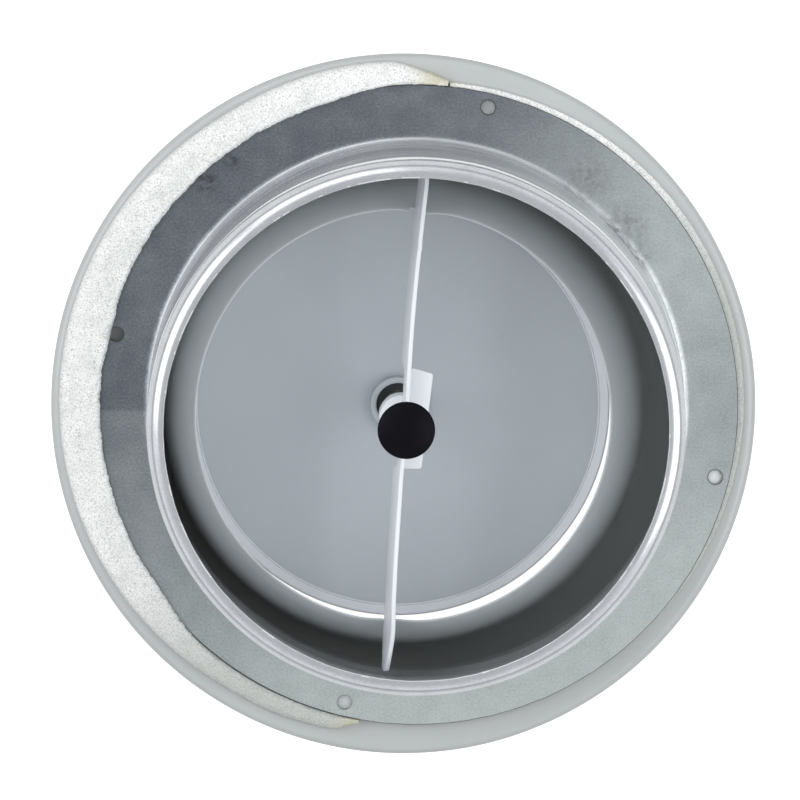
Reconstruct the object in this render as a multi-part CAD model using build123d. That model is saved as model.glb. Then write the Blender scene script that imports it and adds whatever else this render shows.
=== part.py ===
from build123d import *
import math
import os

# Ventilation disc valve for a 125 mm duct: a painted sheet-steel valve with a screw-adjusted
# disc, lying face down in its galvanised mounting ring. All sizes are in millimetres.
# +Z runs along the duct, away from the room. The origin is on the mounting ring's axis, in the
# plane of the flange face that lies against the ceiling. +Y is the upper side of the view.

os.makedirs("parts", exist_ok=True)

# Mounting ring, pressed from galvanised sheet
ring_sheet = 0.7
spigot_od = 123.8
spigot_height = 50.0
flange_width = 13.4
root_radius = 2.2
end_roll_radius = 2.0
lip_reach = 3.9
crease_drop = 6.5
crease_depth = 0.25
crease_width = 1.4
hole_setback = 10.1
hole_count = 4
hole_diameter = 3.3
first_hole_angle = 76.5

# Valve body, pressed from painted sheet, beside the ring's axis as it lies
body_shift = (-3.0, -0.2)
body_sheet = 0.8
throat_room = 10.0
throat_height = 19.5
throat_flare = 18.0
rim_overhang = 34.5
rim_drop = 4.1
rim_radius = 10.9
rim_roll_radius = 2.0
crown_land = 2.3
seat_width = 16.0
seat_slope = 7.0

# Foam gasket, two strips glued on the seat behind the rim; they meet at the top and the bottom
foam_width = 10.0
foam_joint_angle = 81.0
foam_joint_gap = 0.8
foam_seat_margin = 0.5
left_foam_setback = 4.6
left_foam_shift = (-2.5, 0.9)
right_foam_setback = 7.5
right_foam_shift = (4.7, 1.1)
foam_swell = 1.2
foam_clearance = 0.05
foam_edge_room = 0.3

# Bridge, one folded strip
bridge_sheet = 1.0
slot_depth = 1.0
slot_room = 0.3
arm_height = 10.0
arm_overhang = 11.3
arm_start = 2.0
arm_offset = 0.3
upper_arm_turn = -5.0
upper_arm_lean = 7.0
lower_arm_turn = -3.75
lower_arm_lean = 2.0
arm_nose_radius = 5.5
arm_toe_radius = 1.5
wing_rise = 4.9
wing_turn = -4.0
wing_reach = 5.6
wing_length = 23.5
wing_corner = 1.2

# Spindle and what it carries: all on one axis, which leans a little
spindle_lean = 2.1
spindle_diameter = 6.0
thread_clearance = 0.05
seat_clearance = 0.02
bush_diameter = 10.6
bush_neck_diameter = 7.8
bush_drop = 6.4
bush_neck_rise = 3.6
cap_room = 12.0
cap_diameter = 13.3
cap_foot_diameter = 10.4
cap_height = 11.5
cap_crown = 1.5
cap_edge_radius = 0.8
cap_bore_depth = 8.0

# Disc and its collar
disc_sheet = 0.8
disc_overlap = 1.2
disc_opening = 23.6
disc_lip_width = 1.9
disc_lip_height = 1.6
disc_dish = 3.3
disc_belly = 0.8
disc_seat_diameter = 17.0
collar_diameter = 13.1
collar_bore = 10.1
collar_height = 3.4
collar_floor = 0.6
collar_bevel = 0.4

flange_od = spigot_od + 2 * flange_width
lip_bore = spigot_od - 2 * lip_reach
hole_circle = spigot_od + 2 * hole_setback
crease_height = spigot_height - crease_drop
throat_diameter = lip_bore - 2 * throat_room
body_od = throat_diameter + 2 * rim_overhang
crown_height = -rim_drop - rim_radius
seat_bore = body_od - 2 * seat_width
slot_height = throat_height - slot_depth
bridge_top_height = slot_height + arm_height
wing_height = slot_height + wing_rise
arm_reach = throat_diameter / 2 + arm_overhang
bush_top_height = wing_height + bush_neck_rise
cap_foot_height = bush_top_height + cap_room
disc_diameter = throat_diameter + 2 * disc_overlap
disc_bend_height = throat_height - disc_opening
seat_height = disc_bend_height - disc_dish

valve_place = Location((*body_shift, 0))
lean_height = bridge_top_height + bridge_sheet
spindle_place = (
    valve_place
    * Location((0, 0, lean_height))
    * Rotation(0, spindle_lean, 0)
    * Location((0, 0, -lean_height))
)


def turned(profile):
    """Revolve a closed outline, drawn as radius and height, about the Z axis."""
    return revolve(Plane.XZ * make_face(profile), Axis.Z)


def pressed(path, thickness, side):
    """A pressed round part: an open path given the sheet's thickness and revolved."""
    skin = offset(path, amount=thickness, side=side, kind=Kind.INTERSECTION)
    return turned(skin.edges())


def tube(outer, inner, bottom, top):
    """A plain tube on the Z axis, from its two radii and its two ends."""
    return extrude(Plane.XY.offset(bottom) * (Circle(outer) - Circle(inner)), top - bottom)


def sector(radius, start, end, bottom, top):
    """A slice of a round block between two angles in degrees, up to half a turn."""
    arc = CenterArc((0, 0), radius, start, end - start)
    sides = Polyline(arc @ 1, (0, 0), arc @ 0)
    return extrude(Plane.XY.offset(bottom) * make_face([arc, *sides.edges()]), top - bottom)


def mounting_ring():
    """Flange, root bend, spigot with its crease, and the end rolled in to a lip."""
    wall = spigot_od / 2
    root = JernArc((wall + root_radius, 0), (-1, 0), root_radius, -90)
    roll = JernArc((wall, spigot_height - end_roll_radius), (0, 1), end_roll_radius, 90)
    path = Wire([
        Line((flange_od / 2, 0), root @ 0),
        root,
        Line(root @ 1, (wall, crease_height - crease_width / 2)),
        Line((wall, crease_height - crease_width / 2), (wall - crease_depth, crease_height)),
        Line((wall - crease_depth, crease_height), (wall, crease_height + crease_width / 2)),
        Line((wall, crease_height + crease_width / 2), roll @ 0),
        roll,
        Line(roll @ 1, (lip_bore / 2, spigot_height)),
    ])
    ring = pressed(path, ring_sheet, Side.LEFT)
    punch = Cylinder(hole_diameter / 2, 4 * ring_sheet)
    for place in PolarLocations(hole_circle / 2, hole_count, start_angle=first_hole_angle):
        ring -= place * punch
    return ring


def body_shell():
    """Horn, crown, rim and the foam's seat in one skin, on its own axis."""
    crown_end = (body_od / 2 - rim_radius, crown_height)
    wide = crown_end[0] - crown_land - throat_diameter / 2
    deep = throat_height - crown_height
    s, c = math.sin(math.radians(throat_flare)), math.cos(math.radians(throat_flare))
    bend = (c * wide - s * deep) / (1 - s)
    straight = (wide - c * bend) / s
    throat = Vector(throat_diameter / 2, throat_height)
    horn = Line(throat, throat + Vector(s, -c) * straight)
    mouth = JernArc(horn @ 1, (s, -c), bend, 90 - throat_flare)
    front = JernArc(crown_end, (1, 0), rim_radius, 90)
    rim = JernArc(front @ 1, (0, 1), rim_roll_radius, 90 + seat_slope)
    fall = math.tan(math.radians(seat_slope)) * ((rim @ 1).X - seat_bore / 2)
    seat = Line(rim @ 1, (seat_bore / 2, (rim @ 1).Y - fall))
    path = Wire([horn, mouth, Line(mouth @ 1, front @ 0), front, rim, seat])
    return pressed(path, body_sheet, Side.RIGHT)


def valve_body():
    """The painted pressing, with a slot in the throat's edge for each arm of the bridge."""
    shell = valve_place * body_shell()
    for cutter in arms(bridge_sheet + 2 * slot_room):
        shell -= cutter
    return shell


def foam_strip(setback, shift, start):
    """Half of the gasket on the seat behind the rim, up to its free height."""
    outer = body_od / 2 - setback
    strip = Location((*shift, 0)) * tube(outer, outer - foam_width, crown_height, foam_swell)
    trim = math.degrees(foam_joint_gap / body_od)
    strip &= sector(body_od, start + trim, start + 180 - trim, crown_height, foam_swell)
    strip -= Cylinder(seat_bore / 2 + foam_seat_margin, 2 * spigot_height)
    strip = valve_place * (strip - body_shell())
    return Compound([strip.solids().sort_by(Axis.Z)[-1]])


def under_flange(radius):
    """The space that the ring's flange and everything above it keep free of foam."""
    bottom = -ring_sheet - foam_clearance
    room = Cylinder(radius, spigot_height, align=(Align.CENTER, Align.CENTER, Align.MIN))
    return Location((0, 0, bottom)) * room


def gasket_left():
    """The left strip swells up freely beside the flange."""
    strip = foam_strip(left_foam_setback, left_foam_shift, foam_joint_angle)
    return strip - under_flange(flange_od / 2 + foam_edge_room)


def gasket_right():
    """The right strip lies pressed flat under the flange."""
    strip = foam_strip(right_foam_setback, right_foam_shift, foam_joint_angle - 180)
    return strip - under_flange(body_od)


def arm_blank(thickness):
    """One arm of the strip on edge, from beside the bush to its rounded end past the throat."""
    outline = make_face(Polyline(
        (arm_start, wing_height),
        (wing_length / 2, wing_height),
        (wing_length / 2, slot_height),
        (arm_reach, slot_height),
        (arm_reach, bridge_top_height),
        (arm_start, bridge_top_height),
        close=True,
    ))
    nose = outline.vertices().sort_by(Axis.X)[-2:].sort_by(Axis.Y)[-1]
    outline = fillet(nose, arm_nose_radius)
    toe = outline.vertices().group_by(Axis.Y)[0].sort_by(Axis.X)[-1]
    outline = fillet(toe, arm_toe_radius)
    return extrude(Plane.YZ * outline, thickness / 2, both=True)


def arms(thickness):
    """Both arms in place: each has its own slight turn and lean, as the strip is a little bent."""
    blank = arm_blank(thickness)
    placed = []
    for arm, turn, lean in (
        (blank, upper_arm_turn, upper_arm_lean),
        (mirror(blank, Plane.XZ), lower_arm_turn, lower_arm_lean),
    ):
        tip = Location((arm_offset, 0, wing_height)) * Rotation(0, 0, turn) * Rotation(0, lean, 0)
        placed.append(spindle_place * tip * Location((0, 0, -wing_height)) * arm)
    return placed


def bridge():
    """Two arms and the wing between them, bored for the bush's neck."""
    left = arm_offset - bridge_sheet / 2
    plate = Rectangle(wing_reach - left, wing_length, align=(Align.MIN, Align.CENTER))
    plate = fillet(plate.vertices().sort_by(Axis.X)[-2:], wing_corner)
    wing = extrude(Plane.XY.offset(wing_height) * Location((left, 0)) * plate, bridge_sheet)
    strip = spindle_place * Rotation(0, 0, wing_turn) * wing
    for arm in arms(bridge_sheet):
        strip += arm
    low = (Align.CENTER, Align.CENTER, Align.MIN)
    neck = Cylinder(bush_neck_diameter / 2 + seat_clearance, spigot_height, align=low)
    strip -= spindle_place * Location((0, 0, wing_height - bridge_sheet)) * neck
    return strip - spindle_place * Cylinder(bush_diameter / 2, wing_height, align=low)


def spindle_bush():
    """Threaded bush: the wide part hangs under the wing and the neck passes up through it."""
    bore = spindle_diameter / 2 + thread_clearance
    wide = tube(bush_diameter / 2, bore, wing_height - bush_drop, wing_height)
    neck = tube(bush_neck_diameter / 2, bore, wing_height, bush_top_height)
    return spindle_place * (wide + neck)


def spindle():
    """Threaded rod from the back of the disc into the end cap."""
    end = cap_foot_height + cap_bore_depth
    rod = Cylinder(
        spindle_diameter / 2, end - seat_height, align=(Align.CENTER, Align.CENTER, Align.MIN)
    )
    return spindle_place * Location((0, 0, seat_height)) * rod


def end_cap():
    """Black cap pushed on the spindle's duct end, wider towards its shallow crown."""
    radius = cap_diameter / 2
    shoulder = cap_foot_height + cap_height - cap_crown
    roof = cap_foot_height + cap_bore_depth
    bore = spindle_diameter / 2 + seat_clearance
    sphere = (radius**2 + cap_crown**2) / (2 * cap_crown)
    turn = math.degrees(math.asin(radius / sphere))
    crown = JernArc((0, shoulder + cap_crown), (1, 0), sphere, -turn)
    foot = (cap_foot_diameter / 2, cap_foot_height)
    side = Polyline(crown @ 1, foot, (bore, cap_foot_height), (bore, roof), (0, roof), crown @ 0)
    outline = make_face([crown, *side.edges()])
    edge = outline.vertices().group_by(Axis.X)[-1].sort_by(Axis.Y)[-1]
    outline = fillet(edge, cap_edge_radius)
    return spindle_place * revolve(Plane.XZ * outline, Axis.Z)


def disc():
    """Pressed disc, dished away from the duct, with its edge turned back as a lip."""
    seat = (disc_seat_diameter / 2, seat_height)
    bend = (disc_diameter / 2 - disc_lip_width, disc_bend_height)
    belly = ((seat[0] + bend[0]) / 2, (seat[1] + bend[1]) / 2 - disc_belly)
    path = Wire([
        Line((0, seat_height), seat),
        ThreePointArc(seat, belly, bend),
        Line(bend, (disc_diameter / 2, disc_bend_height + disc_lip_height)),
    ])
    return spindle_place * pressed(path, disc_sheet, Side.RIGHT)


def hub_collar():
    """Shallow cup on the disc's seat, with the spindle through its floor."""
    cup = tube(collar_diameter / 2, spindle_diameter / 2 + seat_clearance, 0, collar_height)
    cup = chamfer(cup.faces().sort_by(Axis.Z)[-1].edges().sort_by(SortBy.RADIUS)[-1], collar_bevel)
    hollow = Cylinder(collar_bore / 2, collar_height, align=(Align.CENTER, Align.CENTER, Align.MIN))
    cup -= Location((0, 0, collar_floor)) * hollow
    return spindle_place * Location((0, 0, seat_height)) * cup


nodes = {
    "mounting_ring": mounting_ring,
    "valve_body": valve_body,
    "gasket_left": gasket_left,
    "gasket_right": gasket_right,
    "bridge": bridge,
    "spindle_bush": spindle_bush,
    "spindle": spindle,
    "end_cap": end_cap,
    "disc": disc,
    "hub_collar": hub_collar,
}

for name, make in nodes.items():
    piece = make()
    export_step(piece, f"parts/{name}.step")
    box = piece.bounding_box()
    print(f"{name}: {len(piece.solids())} solid, {piece.volume:.1f} mm3, z {box.min.Z:.2f} to {box.max.Z:.2f}")
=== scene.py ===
# %% [markdown]
# # A disc valve in its mounting ring
# A ventilation disc valve lies face down, seen from the duct side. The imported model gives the
# frame: every body and every size is already in place, in metres, so the work here is finish,
# fine edges, foam, thread and light.

# %% Load the frame
import math

import bmesh
import bpy
from mathutils import Matrix, Vector, noise


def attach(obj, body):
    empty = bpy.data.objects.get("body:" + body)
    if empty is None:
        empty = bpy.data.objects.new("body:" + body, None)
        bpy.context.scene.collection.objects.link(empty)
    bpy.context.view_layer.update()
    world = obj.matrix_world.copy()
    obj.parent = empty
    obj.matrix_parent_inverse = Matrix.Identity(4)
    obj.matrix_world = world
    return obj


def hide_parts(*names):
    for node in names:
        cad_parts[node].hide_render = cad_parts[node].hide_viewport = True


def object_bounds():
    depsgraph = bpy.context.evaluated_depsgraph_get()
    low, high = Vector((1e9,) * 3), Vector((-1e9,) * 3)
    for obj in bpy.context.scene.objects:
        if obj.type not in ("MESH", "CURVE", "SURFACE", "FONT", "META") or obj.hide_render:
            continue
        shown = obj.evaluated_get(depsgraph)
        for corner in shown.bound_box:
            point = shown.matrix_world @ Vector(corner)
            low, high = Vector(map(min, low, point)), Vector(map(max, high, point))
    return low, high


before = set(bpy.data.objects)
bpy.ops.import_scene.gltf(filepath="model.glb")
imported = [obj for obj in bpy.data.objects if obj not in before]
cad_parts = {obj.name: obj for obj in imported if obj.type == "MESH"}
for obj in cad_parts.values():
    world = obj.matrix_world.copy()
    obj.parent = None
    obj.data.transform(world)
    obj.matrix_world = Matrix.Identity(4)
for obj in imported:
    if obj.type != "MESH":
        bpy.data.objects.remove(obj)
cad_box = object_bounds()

MM = 0.001
# Without a seed, noise_vector starts from the clock and the foam differs in every run.
noise.seed_set(11)
print("nodes:", sorted(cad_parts))

# %% [markdown]
# ## The camera
# The picture was taken from far away with a long lens, almost along the ring's axis. The ring's
# near end sits lower in the picture than its flange, so the camera stands a little to the upper
# side. It could stand close with a wide lens, but then the flange would look much smaller than
# the ring's end. A long lens of about 480 mm at 2.5 m gives the same weak perspective.

# %% Camera
TILT = math.radians(6.42)
DISTANCE = 2500 * MM
AIM_RIGHT, AIM_UP = -3.765 * MM, 1.356 * MM
to_camera = Vector((0, math.sin(TILT), math.cos(TILT)))
picture_up = Vector((0, math.cos(TILT), -math.sin(TILT)))
picture_right = Vector((1, 0, 0))
aim = picture_right * AIM_RIGHT + picture_up * AIM_UP

camera_data = bpy.data.cameras.new("camera")
camera_data.sensor_width = 36
camera_data.lens = 481
camera = bpy.data.objects.new("camera", camera_data)
bpy.context.scene.collection.objects.link(camera)
turn = Matrix((picture_right, picture_up, to_camera)).transposed().to_4x4()
camera.matrix_world = Matrix.Translation(aim + to_camera * DISTANCE) @ turn
bpy.context.scene.camera = camera
print("camera stands", round(DISTANCE, 2), "m away")

# %% [markdown]
# ## Where the moving parts stand
# The valve body lies a little beside the ring's axis, and its spindle leans by about two degrees.
# Two matrices hold these places, so that each piece can be drawn round its own plain Z axis.

# %% Places of the body and the spindle
LEAN = math.radians(2.1)
VALVE = Matrix.Translation(Vector((-3.0, -0.2, 0)) * MM)
PIVOT = Matrix.Translation(Vector((0, 0, 29.5)) * MM)
SPINDLE = VALVE @ PIVOT @ Matrix.Rotation(LEAN, 4, "Y") @ PIVOT.inverted()
print("spindle axis", tuple(round(v, 4) for v in SPINDLE.to_3x3() @ Vector((0, 0, 1))))

# %% [markdown]
# ## Small helpers for sheet metal
# Nearly every piece here is pressed or turned: one outline spun round an axis. A helper takes the
# outline as points of radius and height, and another gives an open line the sheet's thickness.
# A screw modifier would spin too, but spinning in code keeps the edge loops even, so that bevels
# and highlights stay smooth. It also lets a shape function move each point a little, because real
# sheet is never a perfect turned body.

# %% Outline helpers
def arc(centre_r, centre_z, radius, start, end, steps):
    """Points along an arc, angles in degrees from the outward direction."""
    angles = [math.radians(start + (end - start) * i / steps) for i in range(steps + 1)]
    return [(centre_r + radius * math.cos(a), centre_z + radius * math.sin(a)) for a in angles]


def run(start, end, steps):
    """Evenly spaced points from start up to, but without, end."""
    return [tuple(Vector(start).lerp(Vector(end), i / steps)) for i in range(steps)]


def thicken(line, thickness, edge=0.3, thin=1.0):
    """Closes an open line into a sheet's outline, on its left side, with softened edges.

    edge is the share of the thickness that each corner of an edge gives up, and thin is the share
    of the thickness that pressing left at the line's first point.
    """
    points = [Vector(p) for p in line]
    normals = []
    for i in range(len(points)):
        before, after = points[max(i - 1, 0)], points[min(i + 1, len(points) - 1)]
        along = (after - before).normalized()
        normals.append(Vector((-along.y, along.x)))
    depth = [thickness * (thin + (1 - thin) * min(i / 3, 1)) for i in range(len(points))]
    far = [p + n * d for p, n, d in zip(points, normals, depth)]
    start_in = (points[1] - points[0]).normalized() * depth[0] * edge
    end_in = (points[-2] - points[-1]).normalized() * thickness * edge
    near = [points[0] + start_in] + points[1:-1] + [points[-1] + end_in]
    back = [far[0] + start_in] + far[1:-1] + [far[-1] + end_in]
    foot = [points[0] + normals[0] * depth[0] * share for share in (1 - edge, edge)]
    tip = [points[-1] + normals[-1] * thickness * share for share in (edge, 1 - edge)]
    return [tuple(p) for p in near + tip + list(reversed(back)) + foot]


print("outline helpers ready")


# %% Mesh helpers
def link(name, mesh):
    """Puts a mesh in the scene as an object."""
    thing = bpy.data.objects.new(name, mesh)
    bpy.context.scene.collection.objects.link(thing)
    return thing


def build(name, mesh):
    """Turns finished mesh code into an object with its faces looking outward."""
    bmesh.ops.recalc_face_normals(mesh, faces=mesh.faces)
    data = bpy.data.meshes.new(name)
    mesh.to_mesh(data)
    mesh.free()
    return link(name, data)


def around_axis(radius, angle, height):
    """A point at a radius, an angle and a height."""
    return Vector((radius * math.cos(angle), radius * math.sin(angle), height))


def spin(name, outline, place=Matrix.Identity(4), turns=360, shape=None):
    """Spins a closed outline of (radius, height) in millimetres round the Z axis of a place."""
    grid = []
    mesh = bmesh.new()
    for radius, height in outline:
        row = []
        for k in range(turns if radius > 1e-6 else 1):
            a = 2 * math.pi * k / turns
            r, z = shape(a, radius, height) if shape else (radius, height)
            row.append(mesh.verts.new(place @ (around_axis(r, a, z) * MM)))
        grid.append(row)
    for low, high in zip(grid, grid[1:] + grid[:1]):
        for k in range(turns):
            corners = [low[k % len(low)], low[(k + 1) % len(low)]]
            corners += [high[(k + 1) % len(high)], high[k % len(high)]]
            unique = list(dict.fromkeys(corners))
            if len(unique) > 2:
                mesh.faces.new(unique)
    return build(name, mesh)


def loft(name, sections):
    """Joins closed sections, lists of points in metres, into one body with flat ends."""
    mesh = bmesh.new()
    rows = [[mesh.verts.new(point) for point in section] for section in sections]
    size = len(rows[0])
    for low, high in zip(rows, rows[1:]):
        for i in range(size):
            j = (i + 1) % size
            mesh.faces.new((low[i], low[j], high[j], high[i]))
    mesh.faces.new(list(reversed(rows[0])))
    mesh.faces.new(rows[-1])
    return build(name, mesh)


print("mesh helpers ready")


# %% Cutting helpers
def block(name, low, high, place):
    """A plain block, used only as a cutter."""
    mesh = bmesh.new()
    bmesh.ops.create_cube(mesh, size=1)
    size, middle = Vector(high) - Vector(low), (Vector(high) + Vector(low)) / 2
    for vert in mesh.verts:
        vert.co = place @ (Vector([c * s + m for c, s, m in zip(vert.co, size, middle)]) * MM)
    return build(name, mesh)


def apply_modifiers(thing):
    """Bakes a piece's modifiers into its mesh."""
    baked = thing.evaluated_get(bpy.context.evaluated_depsgraph_get())
    mesh = bpy.data.meshes.new_from_object(baked)
    thing.modifiers.clear()
    thing.data = mesh


def punch(thing, *cutters):
    """Cuts each cutter out of a piece and removes the cutter."""
    for cutter in cutters:
        cut = thing.modifiers.new("punch", "BOOLEAN")
        cut.object, cut.solver = cutter, "EXACT"
    apply_modifiers(thing)
    for cutter in cutters:
        bpy.data.objects.remove(cutter)


print("cutting helpers ready")


# %% Uneven shapes
def wave(point, size, seed=0.0):
    """Smooth noise from -1 to 1 that changes over a size in millimetres."""
    return noise.noise(Vector(point) / size + Vector((seed, seed * 0.7, -seed)))


def fade(value, start, end):
    """Smooth step from 0 at start to 1 at end."""
    t = min(max((value - start) / (end - start), 0), 1)
    return t * t * (3 - 2 * t)


def hump(value, centre, width):
    """A soft bump of height 1 round a centre."""
    return math.exp(-(((value - centre) / width) ** 2))


def near_angle(angle, centre, width):
    """A soft bump round an angle; all in degrees except the first, which is in radians."""
    return hump((math.degrees(angle) - centre + 180) % 360 - 180, 0, width)


print("a half-faded value:", fade(0.5, 0, 1))

# %% [markdown]
# ## Shared texture groups
# Zinc, paint and foam all need the same few masks: a soft mottle that changes over centimetres,
# the open cells of foam, a slope along a direction, one smudge, and fine lines round a wall. Each
# could be drawn again in every material. As a shader node group it is built once and placed with
# its own sizes. A group only puts out a mask; the shader stays in the material.

# %% Node helpers
def node(tree, kind, *feeds, operation=None, **named):
    """Adds a shader node; each input gets a plain value or another node's output."""
    made = tree.nodes.new("ShaderNode" + kind)
    if operation:
        made.operation = operation
    inputs = list(enumerate(feeds)) + [(key.replace("_", " "), v) for key, v in named.items()]
    for key, value in inputs:
        if isinstance(value, bpy.types.NodeSocket):
            tree.links.new(value, made.inputs[key])
        else:
            made.inputs[key].default_value = value
    return made


def new_group(name, **sizes):
    """A group with one input for each size named and one mask out."""
    group = bpy.data.node_groups.new(name, "ShaderNodeTree")
    for key, value in sizes.items():
        kind = "NodeSocketVector" if isinstance(value, tuple) else "NodeSocketFloat"
        label = key.replace("_", " ")
        made = group.interface.new_socket(name=label, in_out="INPUT", socket_type=kind)
        made.default_value = value
    group.interface.new_socket(name="Mask", in_out="OUTPUT", socket_type="NodeSocketFloat")
    given = group.nodes.new("NodeGroupInput").outputs
    place = group.nodes.new("ShaderNodeTexCoord").outputs["Object"]
    return group, given, place


def give(group, mask):
    """Sends a socket out of a group as its mask."""
    group.links.new(mask, group.nodes.new("NodeGroupOutput").inputs["Mask"])
    return group


print("node helpers ready")


# %% Mottle and open cells
def mottle_group():
    """Cloudy mask from 0 to 1, with a finer cloud laid over a coarse one."""
    group, given, place = new_group("mottle", Coarse_Scale=60, Fine_Scale=400, Fine_Share=0.35)
    coarse = node(group, "TexNoise", Vector=place, Scale=given["Coarse Scale"], Detail=4)
    fine = node(group, "TexNoise", Vector=place, Scale=given["Fine Scale"], Detail=6)
    mix = node(
        group, "Mix", Factor=given["Fine Share"], A=coarse.outputs["Fac"], B=fine.outputs["Fac"],
    )
    return give(group, mix.outputs["Result"])


def pits_group():
    """Open cells: a mask that is low in the middle of a cell and high at its walls."""
    group, given, place = new_group("open_cells", Scale=1100, Ragged=0.35)
    cells = node(group, "TexVoronoi", Vector=place, Scale=given["Scale"])
    blur = node(group, "TexNoise", Vector=place, Scale=given["Scale"], Detail=5)
    mix = node(
        group, "Mix", Factor=given["Ragged"], A=cells.outputs["Distance"], B=blur.outputs["Fac"],
    )
    return give(group, mix.outputs["Result"])


MOTTLE, CELLS = mottle_group(), pits_group()
print("groups:", MOTTLE.name, CELLS.name)


# %% Slope, smudge and drawn lines
def slope_group():
    """Mask that rises from 0 to 1 between two distances along a direction."""
    group, given, place = new_group("slope", Direction=(0, 0, 1), Start=0.0, End=0.01)
    dot = node(group, "VectorMath", place, given["Direction"], operation="DOT_PRODUCT")
    rise = node(
        group, "MapRange", Value=dot.outputs["Value"],
        From_Min=given["Start"], From_Max=given["End"],
    )
    rise.interpolation_type = "SMOOTHSTEP"
    return give(group, rise.outputs["Result"])


def spot_group():
    """Mask of one smudge: 1 at its centre, 0 outside its size, with a ragged edge."""
    group, given, place = new_group("spot", Centre=(0, 0, 0), Size=0.004, Ragged=0.5)
    gap = node(group, "VectorMath", place, given["Centre"], operation="DISTANCE")
    near = node(
        group, "MapRange", Value=gap.outputs["Value"], From_Max=given["Size"], To_Min=1, To_Max=0,
    )
    near.interpolation_type = "SMOOTHSTEP"
    cloud = node(group, "TexNoise", Vector=place, Scale=700, Detail=5)
    hard = node(group, "MapRange", Value=cloud.outputs["Fac"], From_Min=0.42, From_Max=0.6)
    share = node(group, "Mix", Factor=given["Ragged"], A=1.0, B=hard.outputs["Result"])
    both = node(
        group, "Math", near.outputs["Result"], share.outputs["Result"], operation="MULTIPLY",
    )
    return give(group, both.outputs["Value"])


def draw_lines_group():
    """Fine lines round the wall, as a drawing tool leaves them."""
    group, given, place = new_group("draw_lines", Around=25, Up=900)
    sizes = node(group, "CombineXYZ", X=given["Around"], Y=given["Around"], Z=given["Up"])
    stretch = node(group, "VectorMath", place, sizes.outputs["Vector"], operation="MULTIPLY")
    lines = node(group, "TexNoise", Vector=stretch.outputs["Vector"], Scale=1.0, Detail=4)
    return give(group, lines.outputs["Fac"])


SLOPE, SPOT, LINES = slope_group(), spot_group(), draw_lines_group()
print("groups:", SLOPE.name, SPOT.name, LINES.name)

# %% [markdown]
# ## Helpers for the materials
# A real coat is never one colour, so every material mixes a few masks into its colour, its
# roughness and its relief. These helpers keep such a mix to one line each, and leave the shader
# itself in the material.

# %% Material helpers
def finish(name, **constants):
    """A material with one Principled shader, its plain values set on the shader's sockets."""
    material = bpy.data.materials.new(name)
    material.use_nodes = True
    shader = material.node_tree.nodes["Principled BSDF"]
    for key, value in constants.items():
        shader.inputs[key.replace("_", " ")].default_value = value
    return material, shader


def place_group(material, group, **values):
    """Places a shared group in a material with its own values, and returns its mask."""
    made = material.node_tree.nodes.new("ShaderNodeGroup")
    made.node_tree = group
    for key, value in values.items():
        made.inputs[key.replace("_", " ")].default_value = value
    return made.outputs["Mask"]


def mottle(material, coarse, fine, share):
    """The shared mottle with its two scales and the finer one's share."""
    return place_group(material, MOTTLE, Coarse_Scale=coarse, Fine_Scale=fine, Fine_Share=share)


def slope(material, direction, start, end):
    """The shared slope along a direction, between two distances in metres."""
    return place_group(material, SLOPE, Direction=direction, Start=start, End=end)


def spot(material, centre, size, ragged=0.0):
    """The shared smudge."""
    return place_group(material, SPOT, Centre=centre, Size=size, Ragged=ragged)


def ramp(material, mask, *stops):
    """Colours along a mask, given as (position, (r, g, b))."""
    made = node(material.node_tree, "ValToRGB", Fac=mask)
    while len(made.color_ramp.elements) < len(stops):
        made.color_ramp.elements.new(0.5)
    for element, (position, colour) in zip(made.color_ramp.elements, stops):
        element.position = position
        element.color = (*colour, 1)
    return made.outputs["Color"]


def spread(material, mask, low, high, start=0.3, end=0.7):
    """A mask stretched to run from low to high."""
    return node(
        material.node_tree, "MapRange",
        Value=mask, From_Min=start, From_Max=end, To_Min=low, To_Max=high,
    ).outputs["Result"]


def bump(material, shader, mask, depth, strength=1.0):
    """Relief of a depth in metres, fed to the shader's normal."""
    made = node(material.node_tree, "Bump", Distance=depth, Strength=strength, Height=mask)
    wire(material, made.outputs["Normal"], shader, "Normal")


def wire(material, output, shader, name):
    """Feeds one of the shader's sockets."""
    material.node_tree.links.new(output, shader.inputs[name])


def colour_mix(material, mask, low, high):
    """Colour between two others by a mask; each is a socket or a plain (r, g, b)."""
    made = material.node_tree.nodes.new("ShaderNodeMix")
    made.data_type = "RGBA"
    material.node_tree.links.new(mask, made.inputs["Factor"])
    for name, value in (("A", low), ("B", high)):
        target = next(s for s in made.inputs if s.name == name and s.type == "RGBA")
        if isinstance(value, tuple):
            target.default_value = (*value, 1)
        else:
            material.node_tree.links.new(value, target)
    return next(s for s in made.outputs if s.type == "RGBA")


def mask_math(material, operation, first, second):
    """Two masks, or a mask and a number, through one step of arithmetic, kept from 0 to 1."""
    made = node(material.node_tree, "Math", first, second, operation=operation)
    made.use_clamp = True
    return made.outputs["Value"]


print("material helpers ready")
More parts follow.
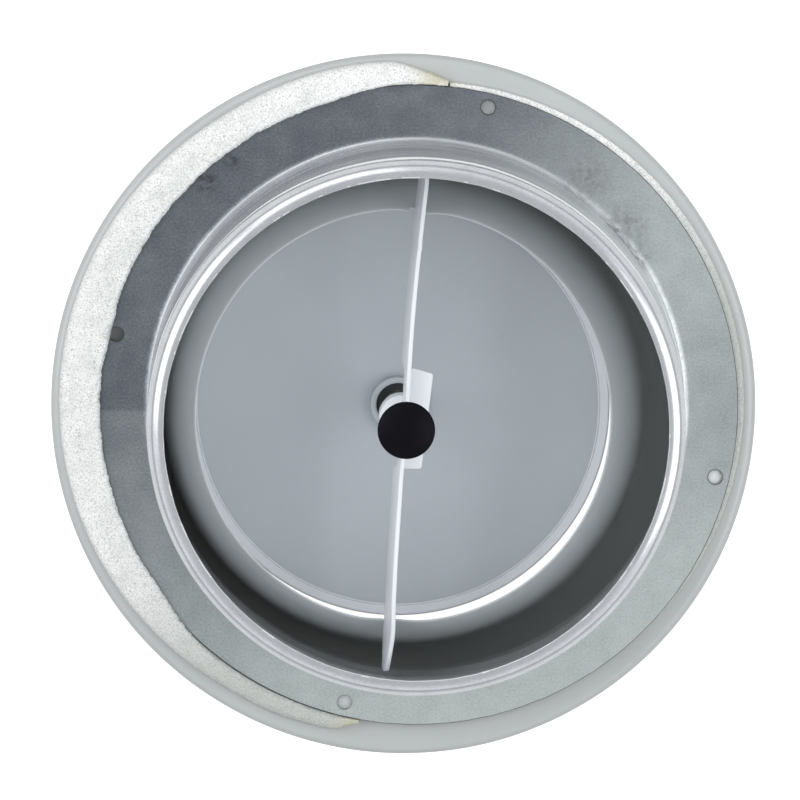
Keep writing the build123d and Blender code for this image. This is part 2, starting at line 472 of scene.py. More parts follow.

# %% [markdown]
# ## Galvanised sheet
# The ring is zinc-coated sheet: blue-grey metal with a soft mottle. The flange is dull, and a
# painted reflection takes it from dark at the upper left to pale at the lower right, with a faint
# straight step at the left and a few broad patches. One picture of a sheet could carry all that,
# but masks keep it sharp at any size. First come the flange's colours.

# %% Flange colours
zinc, zinc_shader = finish("zinc_coat")
zinc_cloud = mottle(zinc, 170, 2000, 0.65)
# Shaded and lit copies of the flange's tone, mixed below as a painted reflection.
shaded_flange_tone = ramp(
    zinc, zinc_cloud,
    (0.34, (0.125, 0.135, 0.16)), (0.5, (0.175, 0.19, 0.215)), (0.68, (0.26, 0.275, 0.295)),
)
lit_flange_tone = ramp(
    zinc, zinc_cloud,
    (0.34, (0.50, 0.54, 0.53)), (0.5, (0.61, 0.66, 0.65)), (0.68, (0.72, 0.77, 0.755)),
)
# Painted reflection: the flange grows paler towards the lower right, with mottled patches over it.
painted_reflection_and_patches = slope(zinc, (0.6, -0.8, 0), -0.070, 0.066)
clouds = spread(zinc, mottle(zinc, 26, 130, 0.4), 0.0, 0.30)
painted_reflection_and_patches = mask_math(zinc, "ADD", painted_reflection_and_patches, mask_math(zinc, "SUBTRACT", clouds, 0.15))
below_seam = slope(zinc, (0, -1, 0), 0.0007, 0.0014)
left_side = slope(zinc, (-1, -0.55, 0), 0.050, 0.066)
seam = mask_math(zinc, "MULTIPLY", below_seam, left_side)
painted_reflection_and_patches = mask_math(zinc, "ADD", painted_reflection_and_patches, mask_math(zinc, "MULTIPLY", seam, 0.16))
for centre, size, step, amount in (
    ((0.052, 0.048, 0), 0.045, "ADD", 0.30),
    ((0.072, -0.004, 0), 0.040, "SUBTRACT", 0.32),
    ((-0.070, -0.006, 0), 0.045, "SUBTRACT", 0.14),
    ((-0.050, -0.050, 0), 0.045, "SUBTRACT", 0.20),
):
    patch = mask_math(zinc, "MULTIPLY", spot(zinc, centre, size), amount)
    painted_reflection_and_patches = mask_math(zinc, step, painted_reflection_and_patches, patch)
flange_colour = colour_mix(zinc, painted_reflection_and_patches, shaded_flange_tone, lit_flange_tone)
print("flange colours ready")

# %% [markdown]
# The wall and the rolled end were drawn through a tool, so they are smoother and brighter than
# the flange, with fine lines round them; the rolled end gets painted shade that tones down its
# highlight. A mask of height parts the two finishes. Smudges, rusty specks and painted shade round
# the four screw holes are laid over both.

# %% Drawn wall, smudges and shine
HOLE_CIRCLE, FIRST_HOLE = 72.0, 76.5
HOLE_ANGLES = [math.radians(FIRST_HOLE + 90 * k) for k in range(4)]
drawn = ramp(zinc, zinc_cloud, (0.35, (0.76, 0.775, 0.795)), (0.65, (0.88, 0.89, 0.90)))
# The rolled end gets a darker copy of the drawn tone, as painted shade that tones down its
# highlight.
rolled = ramp(zinc, zinc_cloud, (0.35, (0.54, 0.555, 0.58)), (0.65, (0.68, 0.695, 0.715)))
drawn = colour_mix(zinc, slope(zinc, (0, 0, 1), 0.0435, 0.0465), drawn, rolled)
wall_zone = slope(zinc, (0, 0, 1), 0.0001, 0.0007)
zinc_colour = colour_mix(zinc, wall_zone, flange_colour, drawn)
for centre, size, shade in (
    ((-0.049, 0.0525, 0), 0.0042, (0.05, 0.052, 0.06)),
    ((-0.043, 0.0575, 0), 0.0030, (0.06, 0.062, 0.07)),
    ((0.0485, 0.042, 0), 0.0090, (0.33, 0.34, 0.355)),
    ((0.052, 0.035, 0), 0.0050, (0.31, 0.32, 0.335)),
    ((0.040, 0.054, 0), 0.0090, (0.30, 0.31, 0.32)),
    ((0.0583, -0.0283, 0.002), 0.0032, (0.30, 0.20, 0.16)),
    ((0.0255, -0.0598, 0.002), 0.0036, (0.36, 0.27, 0.22)),
    ((0.0170, -0.0640, 0.001), 0.0040, (0.33, 0.28, 0.24)),
):
    zinc_colour = colour_mix(zinc, spot(zinc, centre, size, 0.85), zinc_colour, shade)
# Painted shade round each screw hole, lighter at one of them.
for angle, darkness in zip(HOLE_ANGLES, (0.95, 0.95, 0.5, 0.95)):
    hole_painted_shade = spot(zinc, around_axis(HOLE_CIRCLE * MM, angle, 0), 0.0023)
    hole_painted_shade = spread(zinc, hole_painted_shade, 0.0, darkness, 0.03, 0.20)
    zinc_colour = colour_mix(zinc, hole_painted_shade, zinc_colour, (0.04, 0.042, 0.045))
wire(zinc, zinc_colour, zinc_shader, "Base Color")
rough = node(
    zinc.node_tree, "Mix", Factor=wall_zone,
    A=spread(zinc, zinc_cloud, 0.52, 0.36), B=spread(zinc, zinc_cloud, 0.26, 0.18),
)
wire(zinc, rough.outputs["Result"], zinc_shader, "Roughness")
wire(zinc, spread(zinc, wall_zone, 0.8, 0.72, 0.0, 1.0), zinc_shader, "Metallic")
lines = mask_math(zinc, "MULTIPLY", place_group(zinc, LINES, Around=30, Up=1100), 0.5)
grain = mask_math(zinc, "MULTIPLY", mottle(zinc, 300, 1600, 0.5), 0.5)
bump(zinc, zinc_shader, mask_math(zinc, "ADD", lines, grain), 0.00005, 0.35)
print("zinc coat ready")

# %% [markdown]
# The flange's outer edge is painted dark and dull as the shadow of the gap beside it, and the
# lip at the other end is painted bright as a highlight on its edge. Both are small materials of
# their own, put on the faces of the edges.

# %% Painted shadow on the flange's edge, painted highlight on the lip
def painted_edge_tone(name, dark, light, **constants):
    """A mottled grey finish for an edge, used for painted shadow and painted highlight."""
    steel, shader = finish(name, **constants)
    colour = ramp(steel, mottle(steel, 300, 1800, 0.5), (0.35, dark), (0.65, light))
    wire(steel, colour, shader, "Base Color")
    return steel


# Painted shadow along the flange's outer edge.
flange_edge_painted_shadow = painted_edge_tone(
    "flange_edge_painted_shadow", (0.03, 0.03, 0.032), (0.14, 0.14, 0.14), Metallic=0.6, Roughness=0.6
)
# Painted highlight on the lip.
lip_painted_highlight = painted_edge_tone(
    "lip_painted_highlight", (0.80, 0.81, 0.82), (0.98, 0.98, 0.98), Metallic=0.5, Roughness=0.35
)
print("edges ready:", flange_edge_painted_shadow.name, lip_painted_highlight.name)

# %% [markdown]
# ## White paint
# Body, bridge, bush, collar and disc carry a smooth coat of powder paint: nearly flat in colour,
# satin, with a little dust and the slight orange peel that baked powder has. The bridge and its
# bush are whiter than the pressed parts, the disc is a little bluer, the body's coat turns lighter
# inside the duct as painted light, and the recess round the spindle is painted dark as shade, so
# one function makes four coats.

# %% Powder paint
def powder_paint(name, low, high, roughness, inner=None):
    """A coat of powder paint between two close colours, with a little dust in it.

    inner is a lighter copy of the same coat for higher up, inside the duct: painted light on the
    horn.
    """
    coat, shader = finish(name, Roughness=roughness, Coat_Weight=0.2, Coat_Roughness=0.2)
    colour = ramp(coat, mottle(coat, 30, 900, 0.2), (0.3, low), (0.7, high))
    if inner:
        # Painted light: the coat turns to the lighter inner colour higher up the horn.
        colour = colour_mix(coat, slope(coat, (0, 0, 1), -0.0022, 0.015), colour, inner)
    dust = spread(coat, mottle(coat, 420, 1700, 0.35), 0.0, 0.35, 0.66, 0.76)
    colour = colour_mix(coat, dust, colour, (0.40, 0.41, 0.43))
    wire(coat, colour, shader, "Base Color")
    bump(coat, shader, mottle(coat, 700, 1600, 0.3), 0.00002, 0.25)
    return coat


# The body's coat turns lighter inside the duct, as painted light on the horn.
paint = powder_paint(
    "powder_paint", (0.47, 0.49, 0.485), (0.51, 0.53, 0.525), 0.32, (0.60, 0.63, 0.645)
)
disc_paint = powder_paint("disc_paint", (0.525, 0.56, 0.60), (0.565, 0.60, 0.64), 0.40)
# Painted shade for the recess inside the collar.
recess_painted_shade = powder_paint(
    "recess_painted_shade", (0.035, 0.037, 0.042), (0.05, 0.052, 0.058), 0.50
)
bridge_paint = powder_paint("bridge_paint", (0.82, 0.84, 0.88), (0.86, 0.88, 0.92), 0.38)
print("paint ready: body, disc, recess and bridge")

# %% [markdown]
# ## Foam, black plastic and plated steel
# The foam is open-cell: white, rough, full of small dark pits, greyer towards the lower right,
# and yellowed by the glue at the ends of the left strip. Under each screw hole it lies in the
# shade. The cap is matt black plastic, and the spindle is plain plated steel.

# %% Foam finish
foam, foam_shader = finish("open_cell_foam", Roughness=0.95)
foam_pits = place_group(foam, CELLS, Scale=3000, Ragged=0.6)
foam_colour = ramp(
    foam, foam_pits,
    (0.30, (0.99, 0.99, 0.98)), (0.50, (0.96, 0.965, 0.95)), (0.67, (0.58, 0.59, 0.58)),
)
dark_grains = spread(foam, mottle(foam, 260, 2600, 0.6), 0.5, 0.0, 0.38, 0.54)
foam_colour = colour_mix(foam, dark_grains, foam_colour, (0.60, 0.62, 0.60))
# The foam turns greyer towards the lower right.
lower_right_darkening = mask_math(foam, "MULTIPLY", slope(foam, (0.6, -0.8, 0), -0.020, 0.030), 0.65)
foam_colour = colour_mix(foam, lower_right_darkening, foam_colour, (0.38, 0.40, 0.37))
for centre in ((0.0050, 0.0775, 0), (-0.0145, -0.0765, 0)):
    glue = spot(foam, centre, 0.0080, 0.3)
    foam_colour = colour_mix(foam, glue, foam_colour, (0.62, 0.59, 0.43))
for angle, shade in zip(HOLE_ANGLES, (0.30, 0.26, 0.58, 0.80)):
    under_hole = spot(foam, around_axis(HOLE_CIRCLE * MM, angle, -0.0008), 0.0046)
    foam_colour = colour_mix(foam, under_hole, foam_colour, (shade, shade * 1.04, shade * 1.06))
wire(foam, foam_colour, foam_shader, "Base Color")
bump(foam, foam_shader, foam_pits, 0.0003, 0.8)
print("foam finish ready")

# %% Cap and spindle finishes
black, black_shader = finish(
    "black_plastic", Base_Color=(0.0025, 0.0025, 0.005, 1), Roughness=0.40,
    Specular_IOR_Level=0.09,
)
black_grain = mottle(black, 500, 2500, 0.5)
wire(black, spread(black, black_grain, 0.4, 0.52), black_shader, "Roughness")
bump(black, black_shader, black_grain, 0.00002, 0.3)

plated, plated_shader = finish("plated_steel", Metallic=1.0, Base_Color=(0.58, 0.58, 0.57, 1))
plated_cloud = mottle(plated, 150, 1200, 0.5)
wire(plated, spread(plated, plated_cloud, 0.25, 0.42), plated_shader, "Roughness")
print("cap and spindle finishes ready")


# %% Finishing a new piece
def fit(piece, material, node_name, body, angle=35):
    """Gives a piece its finish, lets it stand for a node and move with a body.

    Shading is smooth, and corners sharper than the angle stay sharp.
    """
    piece.data.materials.clear()
    piece.data.materials.append(material)
    piece.data.shade_smooth()
    piece.data.set_sharp_from_angle(angle=math.radians(angle))
    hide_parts(node_name)
    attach(piece, body)
    print(piece.name, len(piece.data.polygons), "faces")


def refinish(piece, material, where, place=Matrix.Identity(4)):
    """Gives another finish to the faces whose radius and height on a place's axis fit a test."""
    piece.data.materials.append(material)
    index = len(piece.data.materials) - 1
    to_axis = place.inverted()
    for face in piece.data.polygons:
        at = to_axis @ face.center
        if where(math.hypot(at.x, at.y) / MM, at.z / MM):
            face.material_index = index


print("pieces follow")

# %% [markdown]
# ## The galvanised ring
# The ring is one strip of sheet with a flange turned out at one end and the other end rolled in
# to a lip. A row of cylinders and a torus would have its size, but pressing leaves the real wall
# slightly wavy, which is what breaks the reflections into lens-shaped streaks. So the outline is
# spun with waves on the wall, and with a lip that isn't quite round and has a few burrs.

# %% Ring sheet
def ring_shape(angle, radius, height):
    """Waves of the wall, and the rough cuts of the lip and of the flange's edge."""
    here = around_axis(radius, angle, height)
    degrees = math.degrees(angle)
    wall = fade(height, 1, 8) * (1 - fade(height, 42, 49))
    radius += 0.17 * wall * wave(here, 15) + 0.02 * wall * wave(here, 5, 3)
    drift = 2.2 * wave(around_axis(20, angle, 0), 18, 5)
    ripple = math.sin(height * 0.50 + drift) * (0.6 + 0.6 * wave(here, 30, 8))
    radius += 0.30 * wall * ripple
    lip = fade(60.5 - radius, 0, 2.0) * fade(height, 48, 49)
    burr = max(wave((degrees, 0, 0), 1.3, 7) - 0.45, 0) * near_angle(angle, -50, 45)
    radius -= lip * (0.08 * wave((degrees, 0, 0), 3, 5) + 0.7 * burr)
    plate = fade(radius, 65, 69) * (1 - fade(height, 2, 4))
    rim_cut = fade(radius, 73.3, 75.3) * plate
    radius += rim_cut * 0.10 * wave((degrees, 4, 0), 2.5, 2)
    height += 0.05 * plate * wave(here, 18, 9)
    return radius, height


ring_line = run((75.3, 0), (64.1, 0), 14)
ring_line += arc(64.1, 2.2, 2.2, 270, 180, 10)
ring_line += run((61.9, 3.4), (61.9, 42.8), 26) + [(61.9, 42.8)]
ring_line += [(61.78, 43.1), (61.5, 43.4), (61.5, 43.7), (61.78, 44.0), (61.9, 44.3)]
ring_line += run((61.9, 44.8), (61.9, 46.4), 2) + arc(58.3, 46.4, 3.6, 0, 90, 18) + [(58, 50)]
ring = spin("ring_sheet", thicken(ring_line, 0.7, 0.2), turns=432, shape=ring_shape)
punches = []
for k, angle in enumerate(HOLE_ANGLES):
    place = Matrix.Translation(around_axis(HOLE_CIRCLE, angle, 0) * MM)
    hole_line = [(0, -2), (1.65, -2), (1.65, 2), (0, 2)]
    punches.append(spin("punch_%d" % k, hole_line, place, turns=40))
punch(ring, *punches)
fit(ring, zinc, "mounting_ring", "ring_and_body", 30)
# The painted shadow goes on the flange's outer edge, the painted highlight on the lip.
refinish(ring, flange_edge_painted_shadow, lambda radius, height: radius > 75.05 and height < 1)
refinish(ring, lip_painted_highlight, lambda radius, height: radius < 58.2 and height > 49)

# %% [markdown]
# ## The painted body
# Horn, front and rim are one pressing. Two notches in the throat's edge take the arms of the
# bridge, and pressing the bridge home pulled the thin edge in a little at both. The notches are
# cut with two small blocks, and the spin's shape function makes the pull. Cutting the notches
# into the outline instead would break its even loops.

# %% Body shell
UPPER, LOWER = 84.6, 266.6


def body_shape(angle, radius, height):
    """The throat's edge drawn in where the bridge crosses it."""
    pull = near_angle(angle, UPPER, 5) + 0.8 * near_angle(angle, LOWER, 6)
    radius -= 0.75 * pull * fade(height, 6, 19)
    here = around_axis(radius, angle, height)
    return radius + 0.06 * wave(here, 25, 4), height + 0.05 * wave(here, 30, 6)


body_line = [(48.0, 19.5)] + run((48.35, 18.75), (50.15, 15.0), 3)
body_line += [(50.15, 15.0), (50.72, 13.75), (51.25, 12.5), (51.75, 11.25), (52.2, 10.0)]
body_line += [(52.62, 8.75), (53.0, 7.5), (53.34, 6.25), (53.66, 5.0), (53.97, 3.75)]
body_line += [(54.26, 2.5), (54.54, 1.25), (54.81, 0.0), (55.1, -1.35), (55.4, -2.75)]
body_line += [(55.73, -4.1)] + arc(69.30, -1.11, 13.889, 198, 270, 18)
body_line += run((69.9, -15), (71.6, -15), 2) + arc(71.6, -4.1, 10.9, 270, 360, 22)
body_line += arc(80.5, -4.1, 2.0, 4, 97, 12) + run((79.6, -2.19), (66.5, -3.804), 8)
body_line += [(66.5, -3.804)]
body = spin("body_shell", thicken(body_line, 0.8, 0.3, 0.5), VALVE, turns=480, shape=body_shape)
print("body shell:", len(body.data.polygons), "faces")

# %% Notches for the bridge
ARM = {
    "upper": (Matrix.Rotation(math.radians(-5.0), 4, "Z"), math.radians(7.0), 1, -2.3),
    "lower": (Matrix.Rotation(math.radians(-3.75), 4, "Z"), math.radians(2.0), -1, -1.4),
}
FOLD = SPINDLE @ Matrix.Translation(Vector((0.3, 0, 23.4)) * MM)
notches = []
for arm, (swing, lean, way, left) in ARM.items():
    place = FOLD @ swing @ Matrix.Rotation(lean, 4, "Y") @ Matrix.Diagonal((1, way, 1, 1))
    notches.append(block("notch_" + arm, (left, 40, -4.95), (0.5, 58, 10), place))
punch(body, *notches)
fit(body, paint, "valve_body", "ring_and_body", 40)

# %% [markdown]
# ## The foam strips
# Foam tape is cut from a sheet, so its faces show open cells and its edges are ragged. A swept
# profile would be far too clean. Each strip is a loft: a closed section is repeated every third
# of a millimetre round the arc, with its corners where the tape really goes. It lies on the seat
# behind the rim, it is flat under the flange, and where it is free it swells and laps over the
# flange's edge. Its ends are cut askew. A last pass pushes the points about for the cells.

# %% Foam section
SEAT_SLOPE = math.tan(math.radians(7))
SEAT_END, SEAT_TOP = 80.256, -2.115
FLANGE_EDGE, FLANGE_UNDER = 75.45, -0.78


def foam_top(outer, inner, flange, first, swell, squeezed, at):
    """Points of a section's upper side: flat under the flange, then the free face."""
    top = [(at(inner, FLANGE_UNDER), 0.0)]
    if squeezed:
        top += [(at(min(flange, outer - 0.4), FLANGE_UNDER), 0.0)]
    else:
        top += [(at(flange, FLANGE_UNDER), 0.0), (at(flange, 0.12), 0.0)]
        top += [(at(max(first + 0.25, inner), 0.14), 0.2)]
    round_in, round_out, rough = (0.5, 2.0, 1.0) if swell > 0 else (0.1, 0.6, 0.6)
    for i in range(33):
        share = i / 32
        inside, outside = share * (outer - first), (1 - share) * (outer - first)
        drop = round_in * max(1 - inside / 0.7, 0) ** 2
        drop += round_out * (1 - math.sqrt(1 - max(1 - outside / 3.2, 0) ** 2))
        top.append((at(first + (outer - first) * share, swell - drop), rough))
    return top


def foam_section(angle, outer, centre, swell, lap, slant):
    """Points round one section of a strip, each with how rough it is."""
    cos, sin = math.cos(angle), math.sin(angle)

    def at(r, z=None, lift=0.0):
        """A point at a distance from the strip's centre, on the seat if no height is given."""
        x, y = centre[0] + r * cos, centre[1] + r * sin
        if z is None:
            z = SEAT_TOP - SEAT_SLOPE * (SEAT_END - math.hypot(x + 3.0, y + 0.2)) + lift
        return Vector((x, y, z))

    def ring_r(target):
        """Distance from the strip's centre at which the ring's radius is the target."""
        along = centre[0] * cos + centre[1] * sin
        return -along + math.sqrt(along**2 - centre[0] ** 2 - centre[1] ** 2 + target**2)

    inner, flange = outer - 10, ring_r(FLANGE_EDGE)
    outer -= slant
    around = (math.degrees(angle) * 1.35, 0, 0)
    rag = 0.16 * wave(around, 0.45, 1) + 0.16 * wave(around, 1.3, 2) + 0.2 * wave(around, 7, 3)
    squeezed = swell < 0 or flange > outer - 0.6
    if squeezed:
        first = min(flange, outer - 0.4) + 0.05
    else:
        first = max(ring_r(FLANGE_EDGE - lap) + rag, inner)
    under = [(at(outer, lift=0.05), 0.2), (at(inner, lift=0.05), 0.2)]
    side = [(at(outer + 0.1, swell * 0.3 - 1.5), 0.5)]
    return under + foam_top(outer, inner, flange, first, swell, squeezed, at) + side


print("foam section ready")


# %% Foam strips
def end_slant(degrees, start, end):
    """How much narrower the free strip is: cut askew at its ends, and wider just before them."""
    slant = 3.3 * max(1 - (degrees - start) / 9.5, 0) + 2.2 * fade(degrees, end - 4.5, end)
    return slant - 2.0 * (1 - fade(degrees, start + 8, start + 45)) - 0.5 * fade(degrees, 240, 250)


def left_lap(degrees):
    """How far the left strip laps over the flange's edge, a little more at a screw hole."""
    free = fade(degrees, 89, 104) * (1 - fade(degrees, 218, 232))
    return (1.5 + 1.9 * hump(degrees, 166, 3.5)) * free


def foam_strip(name, outer, centre, start, end, swell, lap):
    """Lofts a strip from its sections and roughens its open faces."""
    steps = int(math.radians(end - start) * outer / 0.33)
    sections = []
    for k in range(steps + 1):
        angle = math.radians(start + (end - start) * k / steps)
        degrees = math.degrees(angle)
        slant = end_slant(degrees, start, end) if swell > 0 else 0.0
        section = []
        for point, rough in foam_section(angle, outer, centre, swell, lap(degrees), slant):
            cell = noise.noise(point / 0.5, noise_basis="VORONOI_F1")
            push = noise.noise_vector(point / 0.6) * 0.08 + noise.noise_vector(point / 2.6) * 0.10
            push.z += 0.16 * (0.42 - cell)
            section.append((point + push * rough) * MM)
        sections.append(section)
    return loft(name, sections)


for name, outer, centre, start, end, swell, lap in (
    ("foam_left", 77.9, (-5.5, 0.7), 80.2, 264.0, 1.2, left_lap),
    ("foam_right", 75.0, (1.7, 0.9), -101.3, 85.2, -0.76, lambda degrees: 0.0),
):
    strip = foam_strip(name, outer, centre, start, end, swell, lap)
    fit(strip, foam, name.replace("foam", "gasket"), "ring_and_body", 60)

# %% [markdown]
# ## The bridge
# The bridge is one painted strip that stands on edge across the throat. In the middle a tongue is
# folded over to hold the bush. Two boxes would do for the arms if they were straight, but each
# has its own small twist and bow, and the upper one has a kink. A loft of rounded rectangles
# along each arm follows that.

# %% Bridge arms
ARM_START, ARM_END, TONGUE_END = 3.95, 59.3, 11.75
ARM_TOP, ARM_FOOT, CORNER = 5.1, -4.9, 0.24


def arm_heights(along):
    """Lower and upper edge of an arm, above the fold's height, at a distance from the middle."""
    low = 0.0 if along < TONGUE_END else ARM_FOOT * fade(along, 11.4, 12.1)
    high = ARM_TOP
    if along > ARM_END - 5.5:
        high -= 5.5 - math.sqrt(max(5.5**2 - (along - ARM_END + 5.5) ** 2, 0))
    if along > ARM_END - 1.5:
        low += 1.5 - math.sqrt(max(1.5**2 - (along - ARM_END + 1.5) ** 2, 0))
    return low, high


def arm_section(along, twist, bow):
    """A rounded rectangle, one millimetre wide, that follows the arm's edges."""
    low, high = arm_heights(along)
    points = []
    for k, (x, z) in enumerate(((0.26, high), (-0.26, high), (-0.26, low), (0.26, low))):
        z += CORNER if z == low else -CORNER
        points += arc(x, z, CORNER, 90 * k, 90 * k + 90, 3)
    turned = Matrix.Rotation(twist, 4, "Y")
    middle = Vector((0, 0, -4.4))
    shift = middle + Vector((bow, along, 0))
    return [turned @ (Vector((x, 0, z)) - middle) + shift for x, z in points]


def bridge_arm(name, place, way, twist, bow):
    """Lofts an arm from beside the bush to its rounded end."""
    round_end = ARM_END - 5.5
    stops = [ARM_START + (round_end - ARM_START) * k / 70 for k in range(70)]
    stops += [round_end + 5.5 * math.sin(math.pi / 2 * k / 18) for k in range(19)]
    flip = place @ Matrix.Diagonal((1, way, 1, 1))
    sections = [
        [flip @ (p * MM) for p in arm_section(along, twist(along), bow(along))] for along in stops
    ]
    return loft(name, sections)


print("arm helpers ready")


# %% Twist and bow of each arm
def upper_twist(along):
    """The upper arm leans to the right all along."""
    return math.radians(6.0 + 0.8 * fade(along, 20, 45))


def upper_bow(along):
    """The upper arm bows to the left, and a small kink moves its edge."""
    return 0.12 * hump(along, 40.3, 0.7) - 0.65 * math.sin(math.pi * along / 62) - 0.5


def lower_twist(along):
    """The lower arm leans more and more, and stands upright at its very end."""
    return math.radians(7.0 + 1.5 * fade(along, 42, 50) - 4.5 * fade(along, 50, 58))


def lower_bow(along):
    """The lower arm bows to the left by a millimetre."""
    return -0.6 - 0.4 * fade(along, 4, 14) + 0.25 * fade(along, 30, 48) + 0.2 * fade(along, 52, 59)


upper = bridge_arm("bridge_arm_upper", FOLD @ ARM["upper"][0], 1, upper_twist, upper_bow)
lower = bridge_arm("bridge_arm_lower", FOLD @ ARM["lower"][0], -1, lower_twist, lower_bow)
print("arms:", len(upper.data.polygons), "faces each")

# %% [markdown]
# The tongue is a flat plate with rounded corners and a hole for the bush. It is folded out of the
# strip, so it starts under the arms. A polygon is drawn from above, given its thickness, and
# bevelled, and then it is joined with the arms into one piece.

# %% Bridge tongue
def plate(name, corners, low, high, place, bevel=0.22):
    """A flat plate from its corners, each (x, y, radius), with a fine bevel all round."""
    points = []
    count = len(corners)
    for i, (x, y, size) in enumerate(corners):
        here = Vector((x, y))
        before = (Vector(corners[i - 1][:2]) - here).normalized()
        after = (Vector(corners[(i + 1) % count][:2]) - here).normalized()
        for k in range(7):
            t = k / 6
            points.append(here + before * size * (1 - t) ** 2 + after * size * t**2)
    levels = [[place @ (Vector((p.x, p.y, z)) * MM) for p in points] for z in (low, high)]
    made = loft(name, levels)
    edge = made.modifiers.new("edge", "BEVEL")
    edge.width, edge.segments, edge.limit_method = bevel * MM, 3, "ANGLE"
    apply_modifiers(made)
    return made


tongue = plate(
    "bridge_tongue",
    [(-0.35, -11.75, 0.2), (4.9, -11.45, 0.7), (6.1, 10.75, 0.6), (1.9, 11.75, 0.5),
     (-0.35, 11.75, 0.2)],
    0.0, 1.0, FOLD @ Matrix.Rotation(math.radians(-4), 4, "Z"),
)
punch(tongue, spin("bore", [(0, 22), (3.92, 22), (3.92, 30), (0, 30)], SPINDLE, turns=64))
parts = bmesh.new()
for piece in (upper, lower, tongue):
    parts.from_mesh(piece.data)
    bpy.data.objects.remove(piece)
bridge = build("bridge_strip", parts)
fit(bridge, bridge_paint, "bridge", "ring_and_body", 40)

# %% [markdown]
# ## Bush and collar
# The bush is turned and painted with the bridge. The collar is turned too and painted like the
# disc that it sits on. Both have fine chamfers, which catch the light as a thin line, and the
# recess inside the collar is painted dark as shade.

# %% Bush and collar
bush_line = [(3.06, 17.0), (3.3, 17.0), (5.0, 17.0), (5.3, 17.3), (5.3, 23.1), (5.05, 23.36)]
bush_line += [(3.9, 23.38), (3.9, 26.7), (3.65, 27.0), (3.35, 27.0), (3.06, 26.75)]
bush = spin("bush", bush_line, SPINDLE, turns=128)
fit(bush, bridge_paint, "spindle_bush", "ring_and_body", 40)

collar_line = [(3.03, -7.36), (6.35, -7.36), (6.55, -7.1), (6.55, -4.5), (6.35, -4.1)]
collar_line += [(6.1, -4.0), (5.3, -4.0), (5.1, -4.15), (5.05, -4.4), (5.05, -6.8), (3.03, -6.8)]
collar = spin("collar", collar_line, SPINDLE, turns=128)
fit(collar, disc_paint, "hub_collar", "disc_and_spindle", 40)
# The recess inside the collar gets the painted shade.
refinish(collar, recess_painted_shade, lambda radius, height: radius < 5.12 and height > -7.0, SPINDLE)

# %% [markdown]
# ## Spindle and cap
# The spindle is a threaded rod: its thread is a real helix here, made by moving each ring of
# points in and out with its angle, because the eye finds a ring-shaped stand-in at once where a
# rod is seen from the side. The cap is a plain turned knob with a domed top.

# %% Threaded spindle
def thread_radius(height, angle):
    """Radius of an M6 thread: a steep vee with a flat crest, one turn a millimetre."""
    phase = (height - angle / (2 * math.pi)) % 1.0
    depth = abs(phase - 0.5) * 2
    return 2.99 - 0.58 * min(max((depth - 0.12) / 0.76, 0), 1)


def threaded_rod(name, low, high, around=40, per_turn=8):
    """A rod with a right-handed thread and a cone at each end."""
    sections = []
    count = int((high - low) * per_turn)
    for k in range(count + 1):
        height = low + (high - low) * k / count
        end = min(height - low, high - height)
        section = []
        for i in range(around):
            angle = 2 * math.pi * i / around
            radius = min(thread_radius(height, angle), 2.45 + end * 1.2)
            section.append(SPINDLE @ (around_axis(radius, angle, height) * MM))
        sections.append(section)
    return loft(name, sections)


rod = threaded_rod("threaded_spindle", -7.35, 46.95)
fit(rod, plated, "spindle", "disc_and_spindle", 50)

# %% Black end cap
cap_line = [(3.05, 39.0), (4.9, 39.0), (5.2, 39.25)] + run((5.25, 39.6), (6.55, 48.2), 8)
cap_line += arc(5.87, 48.45, 0.75, -8, 62, 8) + [(4.9, 49.62), (3.4, 50.08), (1.8, 50.38)]
cap_line += [(0, 50.48), (0, 47.0), (3.05, 47.0)]
cap = spin("end_cap_knob", cap_line, SPINDLE, turns=128)
fit(cap, black, "end_cap", "cap", 40)

# %% [markdown]
# ## The disc
# The disc is spun sheet: a flat seat for the spindle, a shallow dish, and an edge turned back as
# a lip with a fine crease before it. A flat plate would miss the soft shading of the dish, so it
# is a single arc through three points. The lip gets the whiter paint as painted light, since it
# catches more light than the dish.

# %% Disc
def through(a, b, c, steps):
    """Points on the arc that starts at a, passes b and ends at c."""
    (ax, ay), (bx, by), (cx, cy) = a, b, c
    d = 2 * (ax * (by - cy) + bx * (cy - ay) + cx * (ay - by))
    aa, bb, cc = ax**2 + ay**2, bx**2 + by**2, cx**2 + cy**2
    ux = (aa * (by - cy) + bb * (cy - ay) + cc * (ay - by)) / d
    uy = (aa * (cx - bx) + bb * (ax - cx) + cc * (bx - ax)) / d
    start = math.degrees(math.atan2(ay - uy, ax - ux))
    end = math.degrees(math.atan2(cy - uy, cx - ux))
    return arc(ux, uy, math.hypot(ax - ux, ay - uy), start, end, steps)


def disc_shape(angle, radius, height):
    """Sheet that size is never quite flat."""
    uneven = wave(around_axis(radius, angle, 0), 28, 12)
    return radius, height + 0.05 * uneven * fade(radius, 9, 20)


disc_line = [(49.2, -2.5), (48.9, -2.75), (48.3, -3.26), (47.95, -3.58), (47.72, -3.86)]
disc_line += [(47.55, -4.12), (47.45, -4.2), (47.3, -4.0), (47.18, -3.9), (47.05, -3.98)]
disc_line += [(46.96, -4.1)] + through((46.85, -4.1), (27.9, -6.55), (8.5, -7.4), 40)
disc_line += run((8.3, -7.4), (0, -7.4), 5) + [(0, -7.4)]
disc_outline = [(max(r, 0.0), z) for r, z in thicken(disc_line, 0.8, 0.3)]
disc = spin("disc_sheet", disc_outline, SPINDLE, turns=400, shape=disc_shape)
fit(disc, disc_paint, "disc", "disc_and_spindle", 50)
# Painted light: the lip takes the bridge's whiter paint.
refinish(disc, bridge_paint, lambda radius, height: radius > 47.0 and height > -4.25, SPINDLE)

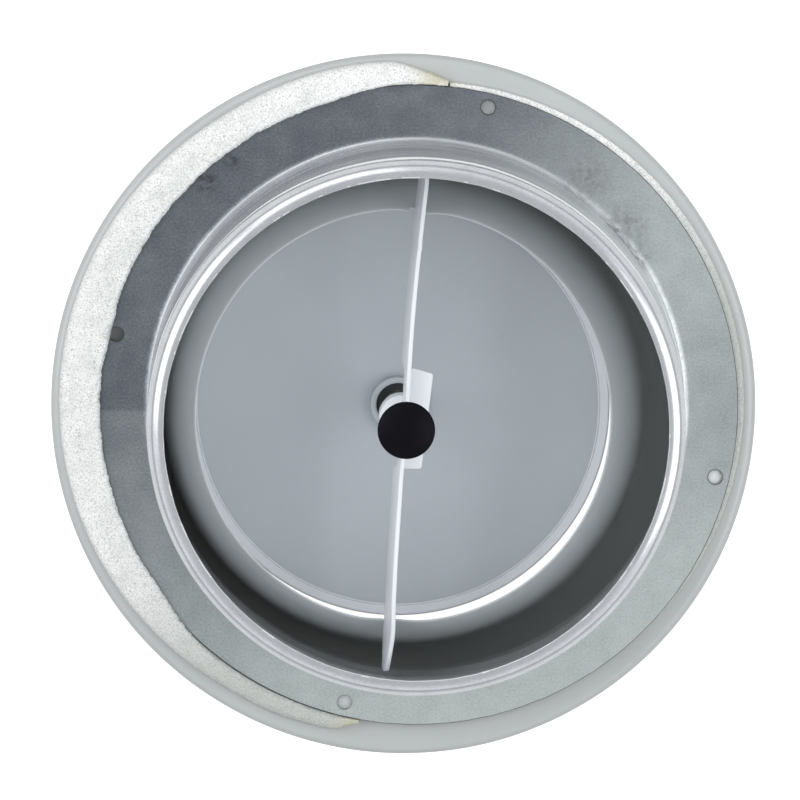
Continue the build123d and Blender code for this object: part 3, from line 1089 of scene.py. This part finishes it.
# %% [markdown]
# ## Floor
# The picture is cut out on white, so the floor shows white to the camera. A white floor would
# also light the part from below and wash out the metal that mirrors it. So it glows less for
# shiny metal than for the camera, and for all other light it is a grey matt floor.

# %% Floor
FLOOR_IN_METAL, FLOOR_GREY = 0.60, 0.35
ground = cad_box[0][2] - 0.0002
corners = [(-3, -3, ground), (3, -3, ground), (3, 3, ground), (-3, 3, ground)]
floor_mesh = bpy.data.meshes.new("floor")
floor_mesh.from_pydata(corners, [], [(0, 1, 2, 3)])
floor = link("floor", floor_mesh)
floor_paint = bpy.data.materials.new("pale_floor")
floor_paint.use_nodes = True
tree = floor_paint.node_tree
tree.nodes.clear()
ray = node(tree, "LightPath").outputs
share = node(tree, "Math", ray["Is Glossy Ray"], FLOOR_IN_METAL, operation="MULTIPLY")
most = node(tree, "Math", ray["Is Camera Ray"], share.outputs[0], operation="MAXIMUM")
glow = node(tree, "Emission", Strength=most.outputs[0])
matt = node(tree, "BsdfDiffuse", Color=(FLOOR_GREY, FLOOR_GREY, FLOOR_GREY, 1))
both = node(tree, "AddShader", matt.outputs[0], glow.outputs[0])
node(tree, "OutputMaterial", Surface=both.outputs[0])
floor.data.materials.append(floor_paint)
print("floor at", round(ground / MM, 1), "mm")

# %% [markdown]
# ## World and lamps
# The light is a soft studio. One flat white world would leave the metal without any streaks, so
# shiny rays see a world of bands by height: dim at the horizon, brightest at a third of the way
# up, and dimmer again overhead. Matt surfaces see a plain sky that grows brighter upwards, and
# the camera sees white. Three large lamps, left, right and behind, give soft direction.

# %% World
world = bpy.data.worlds.new("studio")
bpy.context.scene.world = world
world.use_nodes = True
tree = world.node_tree
tree.nodes.clear()
heading = node(tree, "TexCoord").outputs["Generated"]
height = node(tree, "VectorMath", heading, (0.0, 0.0, 1.0), operation="DOT_PRODUCT")
level = node(tree, "ValToRGB", Fac=height.outputs["Value"])
bands = level.color_ramp.elements
for element, grey in ((bands[0], 0.25), (bands[-1], 0.40)):
    element.color = (grey, grey, grey, 1)
for stop, grey in ((0.18, 0.30), (0.36, 0.95), (0.60, 0.72), (0.85, 0.42)):
    bands.new(stop).color = (grey, grey, grey, 1)
boost = node(tree, "Math", level.outputs["Color"], 1.25, operation="MULTIPLY")
rise = node(
    tree, "MapRange", Value=height.outputs["Value"],
    From_Min=0.0, From_Max=1.0, To_Min=0.15, To_Max=1.10,
)
shiny = node(tree, "Background", Color=(0.95, 0.975, 1.0, 1), Strength=boost.outputs[0])
sky = node(tree, "Background", Color=(0.965, 0.985, 1.0, 1), Strength=rise.outputs["Result"])
white = node(tree, "Background", Color=(1, 1, 1, 1))
ray = node(tree, "LightPath").outputs
by_ray = node(tree, "MixShader", ray["Is Diffuse Ray"], shiny.outputs[0], sky.outputs[0])
choose = node(tree, "MixShader", ray["Is Camera Ray"], by_ray.outputs[0], white.outputs[0])
node(tree, "OutputWorld", Surface=choose.outputs[0])
print("world ready")


# %% Lamps
def lamp(name, place, size, power):
    """A square soft lamp that looks at the valve."""
    data = bpy.data.lights.new(name, "AREA")
    data.size = size
    data.energy = power
    thing = link(name, data)
    thing.location = place
    thing.rotation_euler = (-Vector(place)).to_track_quat("-Z", "Y").to_euler()


lamp("lamp_left", (-0.72, 0.22, 0.62), 0.60, 2.6)
lamp("lamp_right", (0.62, -0.05, 0.55), 0.60, 2.1)
lamp("lamp_top", (-0.30, 0.70, 0.50), 0.50, 1.0)

# %% Close the scene
scene = bpy.context.scene
scene.view_settings.view_transform = "Standard"
